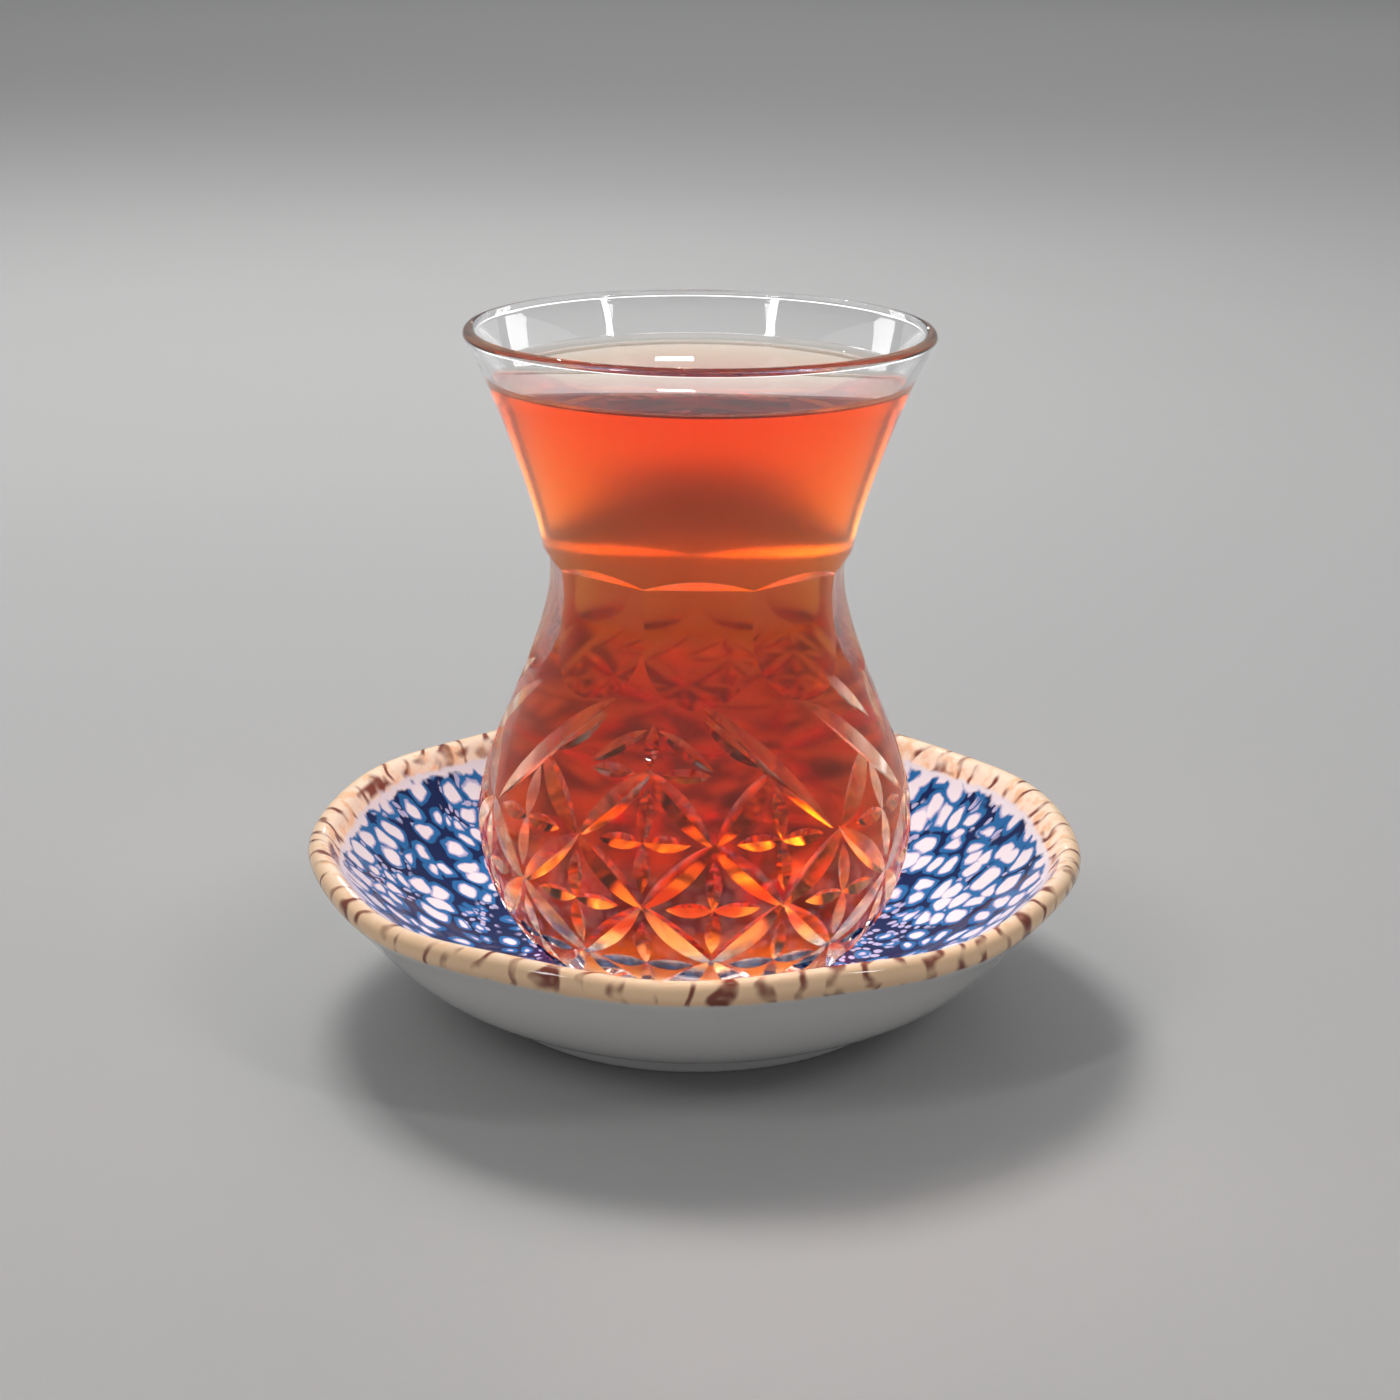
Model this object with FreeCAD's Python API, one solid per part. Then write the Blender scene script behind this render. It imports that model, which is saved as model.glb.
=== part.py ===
import FreeCAD, Part

import math
import os

# A Turkish tea glass full of tea on its porcelain saucer. Millimetres, +Z up.
# The origin is the middle of the saucer's foot, on the table; -Y is the front.

Vector = FreeCAD.Vector
UP = Vector(0, 0, 1)
CENTRE = Vector(0, 0, 0)

# ---------------------------------------------------------------- saucer sizes
saucer_lip_radius = 53.4        # middle of the rounded lip
saucer_lip_height = 22.4        # middle of the lip above the table
saucer_lip_thickness = 3.4      # how thick the rounded lip is
saucer_foot_radius = 30.6       # outside of the foot ring
saucer_foot_width = 3.0         # breadth of the foot ring
saucer_foot_height = 2.7        # underside of the bowl above the table
saucer_floor_thickness = 3.6    # porcelain under the glass
saucer_well_radius = 25.0       # flat floor that the glass stands on
saucer_lobes = 8                # soft waves around the lip
saucer_lobe_drop = 0.5          # how far the lip falls and rises either side of its mean
saucer_lobe_swing = 0.15        # how far the lip swings out and in either side of its mean
saucer_lobe_angle = -93.0       # direction of one low point, degrees from +X
saucer_foot_rounding = 0.7
saucer_bowl_overhang = 1.4      # the bowl springs this far outside its foot ring

# ----------------------------------------------------------------- glass sizes
glass_height = 90.0
glass_mouth_radius = 32.0
glass_waist_radius = 21.1
glass_waist_height = 56.0
glass_belly_radius = 30.8
glass_belly_height = 21.0
glass_shoulder_radius = 24.8    # where the belly's outline turns into the waist's
glass_shoulder_height = 40.0
glass_flare_radius = 24.2       # on the straight flare between waist and mouth
glass_flare_share = 0.412       # how far up from the waist to the mouth that place is
glass_foot_radius = 21.0        # edge of the flat the glass stands on
glass_foot_rounding = 0.9
glass_recess_radius = 15.0      # shallow hollow under the foot
glass_recess_depth = 0.8
glass_recess_slope = 2.5        # breadth of the hollow's sloping edge
glass_mouth_wall = 1.8
glass_waist_wall = 2.6
glass_belly_wall = 3.2
glass_base_thickness = 3.4      # solid glass under the tea
glass_inside_flat = 7.0         # radius of the flat in the middle of the inside
tea_below_mouth = 6.8           # how far the tea stays under the rim

# ------------------------------------------------------------ cut-glass sizes
lattice_repeats = 10            # diamonds around the belly
lattice_angle = -103.0          # direction of one upper hub, degrees from +X
lattice_top_height = 35.5       # height of the upper row of hubs above the glass's foot
lattice_row_pitch = 9.0         # from one row of hubs to the next
lattice_rows = 4                # rows of diagonal arms
lattice_lowest_height = 1.6     # no arm is cut lower than this above the foot
cut_half_angle = 60.0           # the V wheel's half angle
cutter_clearance = 1.3          # how far a cutter stands out of the glass over its keel
shallowest_sag = 0.02           # a keel straighter than this is bent to it
arm_depth = 1.0
arm_gap = 0.55                  # glass left between an arm's tip and the hub
star_depth = 0.65
star_gap = 0.45                 # glass left between a star leaf and the star's middle
star_side_length = 6.0
star_upright_length = 6.2
spray_depth = 0.85              # long leaves that climb from the belly towards the waist
spray_short_depth = 0.6
panel_count = 9                 # broad flats ground around the waist
panel_angle = -89.3             # direction of the middle of one flat, degrees from +X
panel_top_height = 58.4         # here a flat ends in a steep ledge
panel_middle_height = 51.0
panel_bottom_height = 43.0      # here a flat runs out into the shoulder
panel_depth = 1.35
panel_ledge = 3.0               # how far the ledge's slope runs out of the glass
panel_width = 18.0
panel_reach = 12.0              # how far the grinding tool stands out of the glass

saucer_floor_height = saucer_foot_height + saucer_floor_thickness
glass_foot_height = saucer_floor_height
glass_flare_height = glass_waist_height + glass_flare_share * (glass_height - glass_waist_height)
tea_height = glass_height - tea_below_mouth


def at(radius, height, angle=0.0):
    """Point at a radius and height in the direction of an angle in degrees."""
    turn = math.radians(angle)
    return Vector(radius * math.cos(turn), radius * math.sin(turn), height)


def turned(points):
    """Solid of revolution about the upright axis from a closed list of edges."""
    face = Part.Face(Part.Wire(points))
    return face.revolve(CENTRE, UP, 360)


def line(start, end):
    return Part.LineSegment(start, end).toShape()


def arc(start, middle, end):
    return Part.Arc(start, middle, end).toShape()


# ---------------------------------------------------------------------- saucer
def saucer_section():
    """Control points of the saucer's skin: radius, height and share of the lobes."""
    half_lip = saucer_lip_thickness / 2
    bowl_radius = saucer_foot_radius + saucer_bowl_overhang
    run = saucer_lip_radius - bowl_radius
    rise = saucer_lip_height - saucer_foot_height
    under = saucer_foot_height
    floor = saucer_floor_height
    inner_run = saucer_lip_radius - saucer_well_radius
    inner_rise = saucer_lip_height - floor
    return [
        (bowl_radius, under, 0.0),
        (bowl_radius + 0.10 * run, under + 0.02 * rise, 0.0),
        (bowl_radius + 0.38 * run, under + 0.17 * rise, 0.1),
        (bowl_radius + 0.70 * run, under + 0.48 * rise, 0.4),
        (bowl_radius + 0.93 * run, under + 0.82 * rise, 0.9),
        (saucer_lip_radius + 0.95 * half_lip, saucer_lip_height - 0.55 * half_lip, 1.0),
        (saucer_lip_radius + 0.90 * half_lip, saucer_lip_height + 0.75 * half_lip, 1.0),
        (saucer_lip_radius - 0.20 * half_lip, saucer_lip_height + 1.20 * half_lip, 1.0),
        (saucer_lip_radius - 1.15 * half_lip, saucer_lip_height + 0.55 * half_lip, 1.0),
        (saucer_lip_radius - 1.75 * half_lip, saucer_lip_height - 0.90 * half_lip, 0.95),
        (saucer_well_radius + 0.66 * inner_run, floor + 0.50 * inner_rise, 0.5),
        (saucer_well_radius + 0.38 * inner_run, floor + 0.17 * inner_rise, 0.1),
        (saucer_well_radius + 0.12 * inner_run, floor, 0.0),
        (saucer_well_radius, floor, 0.0),
    ]


def saucer_skin():
    """The lobed bowl as one smooth surface that closes on itself around the axis."""
    poles_around = 6 * saucer_lobes
    step = 360.0 / poles_around
    # A cubic curve with evenly spaced poles runs a little inside them.
    spread = 3.0 / (2.0 + math.cos(math.radians(step)))
    section = saucer_section()
    poles = []
    for index in range(poles_around):
        angle = index * step
        wave = math.cos(math.radians(saucer_lobes * (angle - saucer_lobe_angle)))
        column = []
        for radius, height, share in section:
            lobed_radius = radius + share * saucer_lobe_swing * wave
            lobed_height = height - share * saucer_lobe_drop * wave
            column.append(at(lobed_radius * spread, lobed_height, angle))
        poles.append(column)
    degree = 3
    spans = len(section) - degree
    knots_up = [float(knot) for knot in range(spans + 1)]
    mults_up = [degree + 1] + [1] * (spans - 1) + [degree + 1]
    knots_around = [float(knot) for knot in range(poles_around + 1)]
    mults_around = [1] * (poles_around + 1)
    surface = Part.BSplineSurface()
    surface.buildFromPolesMultsKnots(
        poles, mults_around, mults_up, knots_around, knots_up, True, False, degree, degree)
    return surface.toShape()


def saucer():
    skin = saucer_skin()
    caps = []
    for edge in skin.Edges:
        box = edge.BoundBox
        if box.ZLength < 1e-6:
            caps.append(Part.Face(Part.Wire([edge])))
    shell = Part.makeShell([skin] + caps)
    shell.sewShape()
    bowl = Part.makeSolid(shell)
    outer = saucer_foot_radius
    inner = saucer_foot_radius - saucer_foot_width
    top = saucer_foot_height + saucer_floor_thickness / 3
    curve = saucer_foot_rounding
    corner = curve * (1 - math.sqrt(0.5))
    foot = turned([
        line(at(inner, top), at(outer, top)),
        line(at(outer, top), at(outer, curve)),
        arc(at(outer, curve), at(outer - corner, corner), at(outer - curve, 0)),
        line(at(outer - curve, 0), at(inner + curve, 0)),
        arc(at(inner + curve, 0), at(inner + corner, corner), at(inner, curve)),
        line(at(inner, curve), at(inner, top)),
    ])
    return bowl.fuse(foot).removeSplitter()


# ----------------------------------------------------------------------- glass
def on_glass(radius, height):
    """Point of the glass's section, with the height counted from the glass's foot."""
    return at(radius, glass_foot_height + height)


def outer_curve():
    """The tulip outline from the foot's edge up to the mouth."""
    curve = Part.BSplineCurve()
    foot_edge = glass_foot_radius + glass_foot_rounding
    below_belly = glass_belly_height / 2
    curve.interpolate([
        on_glass(foot_edge, glass_foot_rounding),
        on_glass(foot_edge + 0.78 * (glass_belly_radius - foot_edge), below_belly),
        on_glass(glass_belly_radius, glass_belly_height),
        on_glass(glass_shoulder_radius, glass_shoulder_height),
        on_glass(glass_waist_radius, glass_waist_height),
        on_glass(glass_flare_radius, glass_flare_height),
        on_glass(glass_mouth_radius, glass_height - glass_mouth_wall / 2),
    ])
    return curve


def inner_curve():
    """The inside from the flat of the bottom up to the mouth."""
    curve = Part.BSplineCurve()
    inside_belly = glass_belly_radius - glass_belly_wall
    shoulder_wall = (glass_belly_wall + glass_waist_wall) / 2
    flare_wall = (glass_waist_wall + glass_mouth_wall) / 2
    curve.interpolate(Points=[
        on_glass(glass_inside_flat, glass_base_thickness),
        on_glass(0.70 * inside_belly, glass_base_thickness + 1.0),
        on_glass(0.95 * inside_belly, (glass_base_thickness + glass_belly_height) / 2),
        on_glass(inside_belly, glass_belly_height + 0.5),
        on_glass(glass_shoulder_radius - shoulder_wall, glass_shoulder_height),
        on_glass(glass_waist_radius - glass_waist_wall, glass_waist_height),
        on_glass(glass_flare_radius - flare_wall, glass_flare_height),
        on_glass(glass_mouth_radius - glass_mouth_wall, glass_height - glass_mouth_wall / 2),
    ], InitialTangent=Vector(1, 0, 0), FinalTangent=Vector(0.42, 0, 1))
    return curve


def cavity():
    """The space inside the glass, closed flat at the level where the lip begins."""
    side = inner_curve()
    top = glass_height - glass_mouth_wall / 2
    return turned([
        side.toShape(),
        line(side.EndPoint, on_glass(0, top)),
        line(on_glass(0, top), on_glass(0, glass_base_thickness)),
        line(on_glass(0, glass_base_thickness), side.StartPoint),
    ])


def blank():
    """The uncut glass: its section between the outer and the inner curve, turned."""
    outside = outer_curve()
    inside = inner_curve()
    lip_top = on_glass(glass_mouth_radius - glass_mouth_wall / 2, glass_height)
    foot_edge = glass_foot_radius
    foot_bulge = glass_foot_rounding * 0.30
    recess_edge = on_glass(glass_recess_radius - glass_recess_slope, glass_recess_depth)
    recess_middle = on_glass(0, glass_recess_depth)
    bottom_middle = on_glass(0, glass_base_thickness)
    return turned([
        inside.toShape(),
        arc(inside.EndPoint, lip_top, outside.EndPoint),
        outside.toShape(),
        arc(outside.StartPoint,
            on_glass(foot_edge + 0.68 * glass_foot_rounding, foot_bulge),
            on_glass(foot_edge, 0)),
        line(on_glass(foot_edge, 0), on_glass(glass_recess_radius, 0)),
        line(on_glass(glass_recess_radius, 0), recess_edge),
        line(recess_edge, recess_middle),
        line(recess_middle, bottom_middle),
        line(bottom_middle, inside.StartPoint),
    ])


class Skin:
    """Outer outline of the glass, looked up by height above its foot."""

    def __init__(self, curve):
        count = 400
        self.samples = []
        for index in range(count + 1):
            share = index / count
            value = curve.FirstParameter + share * (curve.LastParameter - curve.FirstParameter)
            point = curve.value(value)
            self.samples.append((point.z - glass_foot_height, point.x))

    def radius(self, height):
        """Outer radius at a height, read between the two nearest samples."""
        for low, high in zip(self.samples, self.samples[1:]):
            if low[0] <= height <= high[0]:
                share = (height - low[0]) / (high[0] - low[0])
                return low[1] + share * (high[1] - low[1])
        return self.samples[0][1] if height < self.samples[0][0] else self.samples[-1][1]

    def point(self, angle, height):
        return at(self.radius(height), glass_foot_height + height, angle)

    def normal(self, angle, height):
        """Unit vector straight out of the glass."""
        step = 0.2
        slope = (self.radius(height + step) - self.radius(height - step)) / (2 * step)
        out = at(1.0, 0.0, angle) - UP * slope
        return out.normalize()


def leaf(skin, start, end, depth):
    """Cutter for one leaf-shaped V cut between two places (angle, height) on the glass.

    The keel of the cut is an arc through both ends and through the point that lies the
    depth below the surface halfway, so the cut is deepest and broadest in its middle.
    """
    first = skin.point(*start)
    last = skin.point(*end)
    middle_angle = (start[0] + end[0]) / 2
    middle_height = (start[1] + end[1]) / 2
    normal = skin.normal(middle_angle, middle_height)
    keel = skin.point(middle_angle, middle_height) - normal * depth
    chord = last - first
    along = (chord - normal * chord.dot(normal)).normalize()
    chord_middle = (first + last) * 0.5
    sag = (chord_middle - keel).dot(normal)
    half = chord.Length / 2
    if abs(sag) < shallowest_sag:
        sag = shallowest_sag
    radius = (half * half + sag * sag) / (2 * abs(sag))
    # A wheel outside the glass dips into it; a long cut follows the belly instead.
    side = 1.0 if sag > 0 else -1.0
    hub = keel + normal * (side * radius)
    reach = depth + cutter_clearance
    half_width = reach * math.tan(math.radians(cut_half_angle))
    across = normal.cross(along)
    top = keel + normal * reach
    profile = Part.makePolygon([
        keel, top + across * half_width, top - across * half_width, keel])
    sweep = 2 * math.degrees(math.asin(min(0.95, 1.25 * half / radius)))
    face = Part.Face(profile)
    face.rotate(hub, across, -sweep / 2)
    return face.revolve(hub, across, sweep)


def arms(skin):
    """Diagonal arms that join each hub of the lattice to the hubs of the next row."""
    pitch = 360.0 / lattice_repeats
    cutters = []
    for row in range(lattice_rows):
        upper = lattice_top_height - row * lattice_row_pitch
        lower = upper - lattice_row_pitch
        shift = lattice_angle + (row % 2) * pitch / 2
        for repeat in range(lattice_repeats):
            angle = shift + repeat * pitch
            for side in (-1, 1):
                if row == 0 and (repeat, side) in spray_places():
                    continue
                share = arm_gap / lattice_row_pitch
                start = (angle + side * share * pitch / 2, upper - arm_gap)
                end = (angle + side * (1 - share) * pitch / 2, max(lower + arm_gap, lattice_lowest_height))
                cutters.append(leaf(skin, start, end, arm_depth))
    return cutters


def stars(skin):
    """Four-leaved star in the middle of each diamond of the lattice."""
    pitch = 360.0 / lattice_repeats
    cutters = []
    for row in range(1, lattice_rows):
        height = lattice_top_height - row * lattice_row_pitch
        shift = lattice_angle + ((row + 1) % 2) * pitch / 2
        degree = math.degrees(1.0 / skin.radius(height))
        for repeat in range(lattice_repeats):
            angle = shift + repeat * pitch
            near = star_gap * degree
            far = (star_gap + star_side_length) * degree
            for side in (-1, 1):
                cutters.append(leaf(
                    skin, (angle + side * near, height), (angle + side * far, height), star_depth))
                tip = height + side * (star_gap + star_upright_length)
                if tip > glass_foot_rounding:
                    cutters.append(leaf(
                        skin, (angle, height + side * star_gap), (angle, tip), star_depth))
    return cutters


def spray_places():
    """Arms of the top row, as (repeat, side), that a long leaf takes the place of."""
    half = lattice_repeats // 2
    places = []
    for repeat, side in ((1, 1), (2, 1), (4, -1), (3, -1)):
        places.append((repeat, side))
        places.append((repeat + half, side))
    return places


def sprays(skin):
    """Leaves above the lattice: two sprays that lean apart from a clear window."""
    pitch = 360.0 / lattice_repeats
    top = lattice_top_height
    row = lattice_row_pitch
    half_leaves = [
        ((0.08 * pitch, top + 0.50 * row), (0.50 * pitch, top + 0.05 * row), spray_short_depth),
        ((0.13 * pitch, top - 0.05 * row), (0.50 * pitch, top - 0.05 * row), spray_short_depth),
        ((0.53 * pitch, top + 0.90 * row), (1.46 * pitch, top - 0.90 * row), spray_depth),
        ((1.50 * pitch, top + 0.85 * row), (2.44 * pitch, top - 0.90 * row), spray_depth),
        ((0.46 * pitch, top + 0.70 * row), (0.90 * pitch, top + 0.05 * row), spray_depth),
        ((1.72 * pitch, top + 1.15 * row), (2.25 * pitch, top + 0.30 * row), spray_short_depth),
    ]
    middle_leaves = [
        ((0.0, top + 0.07 * row), (0.0, top + 0.60 * row), spray_short_depth),
        ((2.5 * pitch, top - 0.20 * row), (2.5 * pitch, top + 0.90 * row), spray_depth),
    ]
    cutters = []
    for window in (lattice_angle, lattice_angle + 180.0):
        for start, end, depth in middle_leaves:
            cutters.append(leaf(
                skin, (window + start[0], start[1]), (window + end[0], end[1]), depth))
        for start, end, depth in half_leaves:
            for side in (-1, 1):
                cutters.append(leaf(
                    skin,
                    (window + side * start[0], start[1]),
                    (window + side * end[0], end[1]),
                    depth))
    return cutters


def panels(skin):
    """Tools that grind the broad flats around the waist, hollow like the outline there."""
    cutters = []
    for index in range(panel_count):
        angle = panel_angle + index * 360.0 / panel_count
        out = at(1.0, 0.0, angle)
        across = UP.cross(out).normalize()
        shift = across * (-panel_width / 2)
        bottom = skin.point(angle, panel_bottom_height) + shift
        middle = skin.point(angle, panel_middle_height) - out * panel_depth + shift
        top = skin.point(angle, panel_top_height) - out * panel_depth + shift
        ledge = top + (out + UP) * panel_ledge
        section = Part.Wire([
            arc(bottom, middle, top),
            line(top, ledge),
            line(ledge, ledge + out * panel_reach),
            line(ledge + out * panel_reach, bottom + out * panel_reach),
            line(bottom + out * panel_reach, bottom),
        ])
        cutters.append(Part.Face(section).extrude(across * panel_width))
    return cutters


def tea_glass():
    skin = Skin(outer_curve())
    glass = blank()
    glass = glass.cut(panels(skin))
    glass = glass.cut(arms(skin) + stars(skin) + sprays(skin))
    return glass


def tea():
    """The drink: the inside of the glass up to the tea's level."""
    above = Part.makeCylinder(
        2 * glass_mouth_radius, glass_height, on_glass(0, tea_height))
    return cavity().cut(above)


def save(name, shape):
    solid = shape.Solids[0] if len(shape.Solids) == 1 else shape
    solid.exportStep(os.path.join("parts", name + ".step"))
    print(name, "solids", len(shape.Solids), "valid", shape.isValid(),
          "volume", round(shape.Volume), "faces", len(shape.Faces))


os.makedirs("parts", exist_ok=True)
save("saucer", saucer())
save("tea", tea())
save("tea_glass", tea_glass())
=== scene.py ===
"""Looks of a Turkish tea glass full of tea on its porcelain saucer.

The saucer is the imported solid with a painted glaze. The cut glass and the tea are modelled here
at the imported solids' sizes. Lengths in the modelling code are millimetres and become metres when
a mesh is made. Places in the studio are metres.
"""

import math

import bmesh
import bpy
import numpy as np
from mathutils import Matrix, Vector


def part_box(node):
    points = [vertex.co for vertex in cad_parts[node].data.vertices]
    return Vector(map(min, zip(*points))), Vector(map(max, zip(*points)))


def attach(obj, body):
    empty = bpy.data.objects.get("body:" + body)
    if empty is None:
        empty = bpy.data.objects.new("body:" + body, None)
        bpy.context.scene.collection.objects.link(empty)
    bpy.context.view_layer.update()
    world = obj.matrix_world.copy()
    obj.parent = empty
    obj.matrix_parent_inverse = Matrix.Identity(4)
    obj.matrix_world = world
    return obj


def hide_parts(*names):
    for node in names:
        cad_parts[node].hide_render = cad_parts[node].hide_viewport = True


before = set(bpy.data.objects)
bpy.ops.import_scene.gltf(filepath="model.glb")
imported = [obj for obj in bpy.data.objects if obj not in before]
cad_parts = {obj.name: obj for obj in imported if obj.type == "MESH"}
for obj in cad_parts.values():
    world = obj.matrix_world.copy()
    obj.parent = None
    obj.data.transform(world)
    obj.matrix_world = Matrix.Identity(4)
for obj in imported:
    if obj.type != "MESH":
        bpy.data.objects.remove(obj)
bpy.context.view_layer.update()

MM = 0.001

# ------------------------------------------------------------------ glass sizes
glass_low, glass_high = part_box("tea_glass")
FOOT = glass_low.z / MM                      # height that the glass stands at
GLASS_HEIGHT = (glass_high.z - glass_low.z) / MM
TEA_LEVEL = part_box("tea")[1].z / MM - FOOT
MOUTH_RADIUS = 32.0
WAIST_RADIUS = 21.1
WAIST_HEIGHT = 56.0
BELLY_RADIUS = 30.8
BELLY_HEIGHT = 21.0
SHOULDER_RADIUS = 24.8
SHOULDER_HEIGHT = 40.0
FLARE_RADIUS = 24.2
FLARE_HEIGHT = 70.0
FOOT_RADIUS = 21.0
FOOT_ROUNDING = 0.9
RECESS_RADIUS = 15.0
RECESS_DEPTH = 0.8
RECESS_SLOPE = 2.5
MOUTH_WALL = 1.8
WAIST_WALL = 2.6
BELLY_WALL = 3.2
BASE_THICKNESS = 3.4
INSIDE_FLAT = 7.0
BELOW_BELLY_SHARE = 0.78                     # of the way from foot to belly, halfway up
INSIDE_RISE = 1.0                            # the inside's first station above its flat
INSIDE_RISE_SHARE = 0.70                     # of the inside belly's radius, at that station
INSIDE_LOW_SHARE = 0.95                      # of it, halfway up to the belly
INSIDE_BELLY_LIFT = 0.5
MOUTH_LEAN = 0.42                            # outward run of the inner wall at the lip per unit up
TURN_STEPS = 384
WALL_TOLERANCE = 0.12                        # tells the inner wall's faces from the outer ones
GLASS_SHARP_ANGLE = 14.0                     # edges folded by more degrees than this stay sharp
WETTED_ROUGHNESS = 0.26                      # softens what is seen through the full glass
GLASS_UNEVENNESS = 0.04
GLASS_IOR = 1.51
TEA_IOR = 1.333

# -------------------------------------------------------------- cut-glass sizes
REPEATS = 10
PITCH = 360.0 / REPEATS
LATTICE_ANGLE = -103.0
LATTICE_TOP = 35.5
ROW_PITCH = 9.0
ROWS = 4
CUT_HALF_ANGLE = 55.0
ARM_DEPTH = 1.2
ARM_OVERRUN = 0.35                           # how far an arm's tip runs past its hub
STAR_DEPTH = 0.8
STAR_OVERRUN = 0.15
STAR_SIDE_LENGTH = 6.4
STAR_UPRIGHT_LENGTH = 6.9
SPRAY_DEPTH = 1.05
SPRAY_SHORT_DEPTH = 0.7
PANELS = 9
PANEL_ANGLE = -89.3
PANEL_TOP = 58.4
PANEL_MIDDLE = 51.0
PANEL_BOTTOM = 43.0
PANEL_DEPTH = 1.35
PANEL_LEDGE = 3.0
PANEL_WIDTH = 18.0
PANEL_REACH = 12.0
PANEL_STEPS = 60
KEEL_STEPS = 18
SHALLOWEST_SAG = 0.02
CUTTER_CLEARANCE = 1.6                       # how far a wedge stands out of the skin
CUTTER_OVERRUN = 1.3                         # a wedge's length over its leaf's length
STEEPEST_SWEEP = 0.95
LOWEST_ARM_END = 1.5

# ------------------------------------------------------------------- tea sizes
TEA_INTO_WALL = 0.25
MENISCUS_RISE = 0.9
MENISCUS_REACH = 2.2
CONTACT = TEA_LEVEL + MENISCUS_RISE          # height that the tea's edge climbs to
MENISCUS_STEPS = 12
TEA_COLOUR = (0.955, 0.60, 0.0, 1.0)
TEA_DENSITY = 155.0                          # per metre
TEA_SHARP_ANGLE = 40.0
FREE_SURFACE = "free_surface"                # 1 on the faces that meet the air


# ---------------------------------------------------------------- mesh helpers
def spline(stations, count, first_slope=None, last_slope=None):
    """Points of the smooth cubic curve through (radius, height) stations."""
    points = np.array(stations, float)
    gaps = np.linalg.norm(np.diff(points, axis=0), axis=1)
    knots = np.concatenate([[0.0], np.cumsum(gaps)])
    last = len(points) - 1

    def end_slope(order):
        chosen = points[order]
        at = knots[order]
        slope = np.zeros(2)
        for i, point in enumerate(chosen):
            total = 0.0
            for j in range(len(chosen)):
                if j == i:
                    continue
                term = 1.0 / (at[i] - at[j])
                for k in range(len(chosen)):
                    if k not in (i, j):
                        term *= (at[0] - at[k]) / (at[i] - at[k])
                total += term
            slope += point * total
        return slope

    start = end_slope([0, 1, 2]) if first_slope is None else np.array(first_slope, float)
    finish = end_slope([last, last - 1, last - 2]) if last_slope is None else np.array(last_slope, float)
    if first_slope is not None:
        start = start / np.linalg.norm(start)
    if last_slope is not None:
        finish = finish / np.linalg.norm(finish)
    matrix = np.zeros((last + 1, last + 1))
    right = np.zeros((last + 1, 2))
    matrix[0, 0] = matrix[last, last] = 1.0
    right[0], right[last] = start, finish
    for i in range(1, last):
        before, after = gaps[i - 1], gaps[i]
        matrix[i, i - 1] = after
        matrix[i, i] = 2.0 * (before + after)
        matrix[i, i + 1] = before
        right[i] = 3.0 * (
            before / after * (points[i + 1] - points[i]) + after / before * (points[i] - points[i - 1]))
    slopes = np.linalg.solve(matrix, right)
    out = []
    for value in np.linspace(0.0, knots[-1], count):
        i = min(int(np.searchsorted(knots, value, side="right")) - 1, last - 1)
        width = gaps[i]
        t = (value - knots[i]) / width
        out.append(
            (2 * t**3 - 3 * t**2 + 1) * points[i]
            + (t**3 - 2 * t**2 + t) * width * slopes[i]
            + (-2 * t**3 + 3 * t**2) * points[i + 1]
            + (t**3 - t**2) * width * slopes[i + 1])
    return [tuple(point) for point in out]


def mesh_object(name, vertices, faces):
    """Object from vertices in millimetres above the glass's foot, in the shared frame."""
    mesh = bpy.data.meshes.new(name)
    shifted = [(x * MM, y * MM, (z + FOOT) * MM) for x, y, z in vertices]
    mesh.from_pydata(shifted, [], faces)
    mesh.update()
    made = bpy.data.objects.new(name, mesh)
    bpy.context.scene.collection.objects.link(made)
    return made


def lathe(name, outline, steps=TURN_STEPS):
    """Closed solid turned from an outline of (radius, height) that starts and ends on the axis."""
    rings = []
    vertices = []
    for radius, height in outline:
        if radius < 1e-6:
            rings.append([len(vertices)])
            vertices.append((0.0, 0.0, height))
            continue
        rings.append(list(range(len(vertices), len(vertices) + steps)))
        for step in range(steps):
            turn = 2 * math.pi * step / steps
            vertices.append((radius * math.cos(turn), radius * math.sin(turn), height))
    faces = []
    for low, high in zip(rings, rings[1:]):
        for step in range(steps):
            after = (step + 1) % steps
            if len(low) == 1:
                faces.append((low[0], high[after], high[step]))
            elif len(high) == 1:
                faces.append((low[step], low[after], high[0]))
            else:
                faces.append((low[step], low[after], high[after], high[step]))
    return mesh_object(name, vertices, faces)


def arc_points(centre, radius, start, end, count):
    """Points of a round stretch of an outline, angles in degrees."""
    out = []
    for value in np.linspace(math.radians(start), math.radians(end), count):
        out.append((centre[0] + radius * math.cos(value), centre[1] + radius * math.sin(value)))
    return out


# ------------------------------------------------------------------- the glass
def outer_outline(count=150):
    edge = FOOT_RADIUS + FOOT_ROUNDING
    return spline([
        (edge, FOOT_ROUNDING),
        (edge + BELOW_BELLY_SHARE * (BELLY_RADIUS - edge), BELLY_HEIGHT / 2),
        (BELLY_RADIUS, BELLY_HEIGHT),
        (SHOULDER_RADIUS, SHOULDER_HEIGHT),
        (WAIST_RADIUS, WAIST_HEIGHT),
        (FLARE_RADIUS, FLARE_HEIGHT),
        (MOUTH_RADIUS, GLASS_HEIGHT - MOUTH_WALL / 2),
    ], count)


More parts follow.
